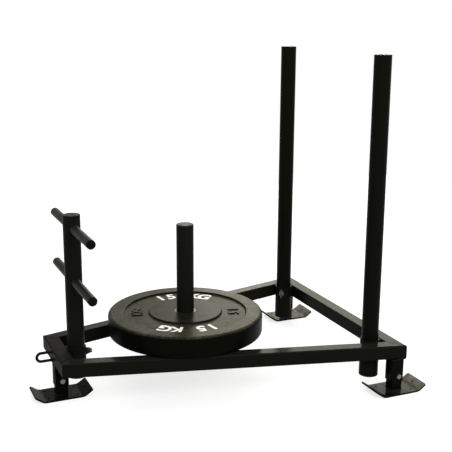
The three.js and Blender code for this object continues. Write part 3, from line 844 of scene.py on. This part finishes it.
def buildSleeves():
    for end in legEnds:
        radius = extent(end + "_sleeve").x / 2
        bore = radius - sleeve["wall"]
        dressTube(end + "_sleeve", sleeve, "frame_paint")
        dressTube(end + "_sleeve_base", sleeveBase, "frame_paint", radius=bore - sleeve["gap"])

        # local z runs out along the screw
        start, out = lockLine(end)
        nutSeat = radius + sleeve["gap"]
        nut = hexShape(lock["nutFlats"], lock["nutHeight"], lock["size"] / 2 + lock["play"])
        dress(end + "_lock_nut", aim(nut, start + out * nutSeat, out, zAxis), "frame_paint")
        tip = bore + sleeve["gap"] - lock["tipInside"]
        knobFace = nutSeat + lock["nutHeight"] + lock["standoff"]
        screw = threadedRod(lock["size"] / 2, tip, knobFace + knob["seat"], lock["pitch"], lock["depth"])
        dress(end + "_lock_screw", aim(screw, start, out, zAxis), "zinc")
        upright = extent(end + "_lock_knob").z > knob["rootSize"] * knob["uprightShare"]
        shape = aim(knobShape(), start + out * knobFace, out, zAxis if upright else zAxis.cross(out))
        dress(end + "_lock_knob", shape, "knob_plastic")
    print("sleeves and lock screws made")


# Push poles, handle post and handles
pole = {"wall": 2.5 * mm, "edge": 0.5 * mm, "plugPlay": 0.3 * mm, "capThick": 4 * mm, "capRound": 1.4 * mm,
        "steps": 96}
handle = {"wall": 2.5 * mm, "edge": 0.4 * mm, "plugPlay": 0.3 * mm, "capThick": 3 * mm, "capRound": 1.1 * mm,
          "steps": 64}


def buildPoles():
    for name in ("near_push_pole", "far_push_pole", "front_post"):
        radius = extent(name).x / 2
        # the handle post takes the lighter copy of the pole paint, painted light
        dressTube(name, pole, "horn_lit_paint" if name == "front_post" else "pole_paint")
        dressCap(name + "_cap", radius, pole, "black_plastic")
        dressCap(name + "_foot", radius, pole, "black_plastic", -zAxis)
    print("poles made")


def buildHandles():
    for name in ("upper_handle", "lower_handle"):
        radius = extent(name).x / 2
        dressTube(name, handle, "horn_lit_paint", yAxis)
        dressCap(name + "_near_cap", radius, handle, "black_plastic", -yAxis)
        dressCap(name + "_far_cap", radius, handle, "black_plastic", yAxis)
    print("handles made")


# Rubber plate with its hub
plate = {"edge": 9 * mm, "rim": 47 * mm, "hubFace": 105 * mm, "recess": 5.5 * mm, "slope": 2 * mm,
         "stepRound": 1.6 * mm, "boreRound": 1.2 * mm, "steps": 192}
hub = {"wall": 6.5 * mm, "edge": 0.3 * mm, "gap": 0.3 * mm, "steps": 96}


def buildPlate():
    centre, size = middle("plate_rubber"), extent("plate_rubber")
    outer, thick = size.x / 2, size.z
    bore = extent("plate_hub").x / 2 + hub["gap"]
    rim = outer - plate["rim"]
    face, slope, recessed = plate["hubFace"], plate["slope"], thick - plate["recess"]
    soft = plate["stepRound"]
    upper = [(bore, thick, plate["boreRound"]), (face, thick, soft), (face + slope, recessed, soft),
             (rim - slope, recessed, soft), (rim, thick, soft), (outer, thick, plate["edge"])]
    lower = [(radius, thick - height, rounding) for radius, height, rounding in upper]
    shape = turned(lower + upper[::-1], plate["steps"])
    dress("plate_rubber", shift(shape, centre - zAxis * thick / 2), "rubber")
    dressTube("plate_hub", hub, "hub_steel")
    print("plate made")


# Plain figures that state the weight, painted white or raised in the rubber
whiteFigures = {"words": (("15 KG", -107), ("15 KG", 73)), "radius": 145 * mm, "size": 57 * mm,
                "thick": 0.5 * mm, "fatten": 1.6 * mm, "step": 13.5, "sunk": 0.1 * mm}
raisedFigures = {"words": (("15", -20), ("KG", 160)), "radius": 139 * mm, "size": 46 * mm,
                 "thick": 3 * mm, "fatten": 0.8 * mm, "step": 12, "sunk": 0.3 * mm}


def letter(sign, sizes):
    curve = bpy.data.curves.new("figure", "FONT")
    curve.body = sign
    curve.size = sizes["size"]
    curve.extrude = sizes["thick"] / 2
    curve.offset = sizes["fatten"]
    curve.align_x = "CENTER"
    curve.align_y = "CENTER"
    holder = addObject("figure", curve)
    bpy.context.view_layer.update()
    mesh = bpy.data.meshes.new_from_object(holder.evaluated_get(bpy.context.evaluated_depsgraph_get()))
    bm = bmesh.new()
    bm.from_mesh(mesh)
    bpy.data.meshes.remove(mesh)
    bpy.data.objects.remove(holder)
    bpy.data.curves.remove(curve)
    bmesh.ops.remove_doubles(bm, verts=bm.verts, dist=tiny)
    return bm


def arcOfFigures(word, centreAngle, sizes):
    # tops point outward, so the word runs clockwise
    centre = middle("plate_rubber")
    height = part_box("plate_rubber")[1].z - plate["recess"] + sizes["thick"] / 2 - sizes["sunk"]
    made = []
    for i, sign in enumerate(word):
        if sign == " ":
            continue
        angle = math.radians(centreAngle + ((len(word) - 1) / 2 - i) * sizes["step"])
        up = Vector((math.cos(angle), math.sin(angle), 0))
        place = Vector((centre.x, centre.y, height)) + up * sizes["radius"]
        made.append(aim(letter(sign, sizes), place, zAxis, up.cross(zAxis)))
    return made


def buildFigures():
    for name, sizes, finish in (("plate_numerals", whiteFigures, "white_paint"),
                                ("plate_raised_figures", raisedFigures, "rubber")):
        made = []
        for word, angle in sizes["words"]:
            made += arcOfFigures(word, angle, sizes)
        finishPiece(joined(made), name, "weight_plate", finish)
    print("plate figures made")


# Weld beads
beads = {"cornerSteps": 5, "circleSteps": 64, "saddleSteps": 96, "sleeveOff": 11 * mm, "sleeveBead": 2.2 * mm,
         "sunkShare": 0.35, "endInset": 1.5 * mm, "loopBead": 1.3 * mm, "loopOff": 0.4 * mm,
         "handleOff": 0.4 * mm, "nutBead": 1.6 * mm, "nutOff": 1.2 * mm, "seamBead": 1.6 * mm,
         "seamFlat": 0.2, "seamInner": 1.2 * mm, "seamOuter": 2.5 * mm, "cornerBead": 0.9 * mm,
         "cornerIn": 1.1 * mm, "postBead": 1.7 * mm}


def squarePath(centre, half, corner):
    # a level square with round corners
    points = []
    for turn, (x, y) in enumerate(((1, 1), (-1, 1), (-1, -1), (1, -1))):
        for i in range(beads["cornerSteps"] + 1):
            angle = math.pi / 2 * (turn + i / beads["cornerSteps"])
            points.append(Vector((centre.x + x * (half - corner) + corner * math.cos(angle),
                                  centre.y + y * (half - corner) + corner * math.sin(angle), centre.z)))
    return points


def saddlePath(axis, postRadius, holeRadius, out):
    # where a round branch along out meets an upright round post
    level = zAxis.cross(out)
    points = []
    for i in range(beads["saddleSteps"]):
        angle = 2 * math.pi * i / beads["saddleSteps"]
        across, rise = holeRadius * math.cos(angle), holeRadius * math.sin(angle)
        points.append(axis + level * across + zAxis * rise + out * math.sqrt(postRadius ** 2 - across ** 2))
    return points


def circlePath(centre, radius, normal, across, steps):
    sideways = normal.cross(across)
    angles = [2 * math.pi * i / steps for i in range(steps)]
    return [centre + (across * math.cos(angle) + sideways * math.sin(angle)) * radius for angle in angles]


def uprightBead(spot, inset, radius=weld["radius"]):
    # up the frame's tubes at one spot of the plan, short of both ends
    ends = [Vector((spot.x, spot.y, z)) for z in (frameBottom + inset, frameTop - inset)]
    return weldBead(ends, xAxis, radius)


def legBeads():
    made = []
    for end in legEnds:
        for node, height, corner, radius in (
                (end + "_leg", frameBottom, leg["corner"], weld["radius"]),
                (end + "_skid_post", skid["thick"], skidPost["corner"], beads["postBead"])):
            centre = middle(node)
            path = squarePath(Vector((centre.x, centre.y, height)), extent(node).x / 2, corner)
            made.append(weldBead(path, zAxis, radius, True))
    return made


def sleeveBeads():
    # upright beads in the crevices between each sleeve and the tubes it touches
    made = []
    inward = {sign: Vector((math.sin(slant), -sign * math.cos(slant), 0)) for sign in (-1, 1)}
    walls = {"front": [xAxis], "near": [-xAxis, inward[-1]], "far": [-xAxis, inward[1]]}
    for end, normals in walls.items():
        centre = middle(end + "_sleeve")
        reach = extent(end + "_sleeve").x / 2 - beads["sleeveBead"] * beads["sunkShare"]
        for normal in normals:
            for sign in (-1, 1):
                spot = centre - normal * reach + zAxis.cross(normal) * sign * beads["sleeveOff"]
                made.append(uprightBead(spot, beads["endInset"], beads["sleeveBead"]))
    return made


def smallBeads():
    made = []
    for end in legEnds:
        start, out = lockLine(end)
        radius = extent(end + "_sleeve").x / 2
        path = saddlePath(start, radius, lock["nutFlats"] / 2 + beads["nutOff"], out)
        made.append(weldBead(path, out, beads["nutBead"], True))
    low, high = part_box("tow_loop")
    radius = loop["rod"] / 2
    for z in (low.z + radius, high.z - radius):
        centre = Vector((noseLow.x, (low.y + high.y) / 2, z))
        path = circlePath(centre, radius + beads["loopOff"], xAxis, yAxis, beads["circleSteps"])
        made.append(weldBead(path, xAxis, beads["loopBead"], True))
    hornMiddle = middle("weight_horn")
    centre = Vector((hornMiddle.x, hornMiddle.y, frameBottom))
    path = circlePath(centre, extent("weight_horn").x / 2, zAxis, xAxis, beads["saddleSteps"])
    made.append(weldBead(path, zAxis, closed=True))
    return made


def cornerBeads():
    # flat ground seams over the mitres, and full beads up the outer edges
    made = []
    for end in ("nose", "rear"):
        for sign in (-1, 1):
            outer, inner = mitreLine(end, sign)
            away = (outer - inner).normalized()
            line = [inner + away * beads["seamInner"], outer - away * beads["seamOuter"]]
            for height in (frameTop, frameBottom):
                seam = weldBead(line, zAxis, beads["seamBead"])
                bmesh.ops.scale(seam, vec=(1, 1, beads["seamFlat"]), verts=seam.verts)
                made.append(shift(seam, (0, 0, height)))
            made.append(uprightBead(outer - away * beads["cornerIn"], tube["corner"], beads["cornerBead"]))
    return made


def crossbarBeads():
    low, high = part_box("centre_crossbar")
    made = []
    for sign in (-1, 1):
        start, end = (railEdge(x, sign, True) for x in (low.x, high.x))
        bottom = zAxis * frameBottom
        inset = (end - start).normalized() * tube["corner"]
        made.append(weldBead([start + inset + bottom, end - inset + bottom], zAxis))
        made += [uprightBead(corner, tube["corner"]) for corner in (start, end)]
    return made


def handleBeads():
    made = []
    post = middle("front_post")
    for name in ("upper_handle", "lower_handle"):
        axis = Vector((post.x, post.y, middle(name).z))
        radius = extent(name).x / 2 + beads["handleOff"]
        for out in (-yAxis, yAxis):
            path = saddlePath(axis, extent("front_post").x / 2, radius, out)
            made.append(weldBead(path, yAxis, closed=True))
    return made


def buildWelds():
    made = legBeads() + sleeveBeads() + smallBeads() + cornerBeads() + crossbarBeads()
    finishPiece(joined(made), "frame_welds", "sled_frame", "frame_paint", smoothBelow=weld["smoothBelow"])
    finishPiece(joined(handleBeads()), "handle_welds", "handle_post", "horn_lit_paint",
                smoothBelow=weld["smoothBelow"])
    print("weld beads made")


# Camera, light and floor

# the camera's place is measured from the horn's foot, and its shifts are in the photo's pixels
view = {"place": (-867.04 * mm, -2272.87 * mm, 1055.51 * mm), "yaw": 23.68, "pitch": 13.84, "roll": 0.34,
        "lens": 69.82, "sensor": 36, "photoWidth": 452, "shiftX": -0.48, "shiftY": -1.3}
floor = {"size": 5, "cells": 8, "grey": 0.42, "rough": 0.9, "glow": 0.74}
studio = {"ambient": 0.5, "backdrop": 1.0}
plainLight, warmLight = (1.0, 0.99, 0.96), (1.0, 0.985, 0.8)
lamps = {
    "overhead softbox": {"place": (-0.2, 1.4, 3.2), "size": (3.6, 3.2), "power": 46, "colour": plainLight},
    "high back softbox": {"place": (2.11, 3.98, 2.27), "size": (3.05, 0.7), "power": 45, "colour": warmLight},
    "low back softbox": {"place": (2.52, 3.74, 1.58), "size": (2.1, 0.78), "power": 34, "colour": warmLight},
    "back core": {"place": (1.9, 3.94, 1.66), "size": (0.8, 1.0), "power": 10, "colour": warmLight},
    "front softbox": {"place": (0.15, -2.87, 2.3), "size": (1.6, 1.6), "power": 52, "colour": plainLight}}
lampAim = Vector((0, 0, 0.2))


def buildCamera():
    data = bpy.data.cameras.new("photo camera")
    data.lens = view["lens"]
    data.sensor_width = view["sensor"]
    data.shift_x = view["shiftX"] / view["photoWidth"]
    data.shift_y = view["shiftY"] / view["photoWidth"]
    camera = addObject("photo camera", data)
    hornMiddle = middle("weight_horn")
    place = Vector((hornMiddle.x, hornMiddle.y, 0)) + Vector(view["place"])
    turn = (Matrix.Rotation(math.radians(-view["yaw"]), 4, "Z")
            @ Matrix.Rotation(math.radians(90 - view["pitch"]), 4, "X")
            @ Matrix.Rotation(math.radians(view["roll"]), 4, "Z"))
    camera.matrix_world = Matrix.Translation(place) @ turn
    bpy.context.scene.camera = camera


def seenShare(tree):
    # 1 for rays that show the background: seen, mirrored or through glass
    path = addNode(tree, "LightPath").outputs
    first = calculate(tree, "MAXIMUM", path["Is Camera Ray"], path["Is Glossy Ray"])
    return calculate(tree, "MAXIMUM", first, path["Is Transmission Ray"])


def buildFloor():
    bm = bmesh.new()
    bmesh.ops.create_grid(bm, x_segments=floor["cells"], y_segments=floor["cells"], size=floor["size"] / 2)
    mesh = meshFrom(bm, "floor")
    material, tree, shader = blankMaterial("pale floor")
    for socket, value in (("Base Color", [floor["grey"]] * 3), ("Roughness", floor["rough"]),
                          ("Specular IOR Level", 0), ("Emission Color", (1, 1, 1)),
                          ("Emission Strength", multiply(tree, seenShare(tree), floor["glow"]))):
        feed(tree, shader.inputs[socket], value)
    mesh.materials.append(material)
    addObject("floor", mesh)


def buildStudio():
    world = bpy.data.worlds.new("studio")
    bpy.context.scene.world = world
    world.use_nodes = True
    tree = world.node_tree
    background = tree.nodes["Background"].inputs
    feed(tree, background["Color"], (1, 1, 1))
    strength = remap(tree, seenShare(tree), (0, 1), studio["ambient"], studio["backdrop"])
    feed(tree, background["Strength"], strength)
    for name, softbox in lamps.items():
        data = bpy.data.lights.new(name, "AREA")
        data.shape = "RECTANGLE"
        data.size, data.size_y = softbox["size"]
        data.energy = softbox["power"]
        data.color = softbox["colour"]
        lamp = addObject(name, data)
        lamp.location = softbox["place"]
        lamp.rotation_euler = (lampAim - lamp.location).to_track_quat("-Z", "Y").to_euler()
    print("camera, floor and lamps made")


buildCamera()
buildFloor()
buildStudio()
buildFrame()
buildHorn()
buildTowLoop()
buildLegs()
buildSleeves()
buildPoles()
buildHandles()
buildPlate()
buildFigures()
buildWelds()
bpy.context.scene.view_settings.view_transform = "Standard"
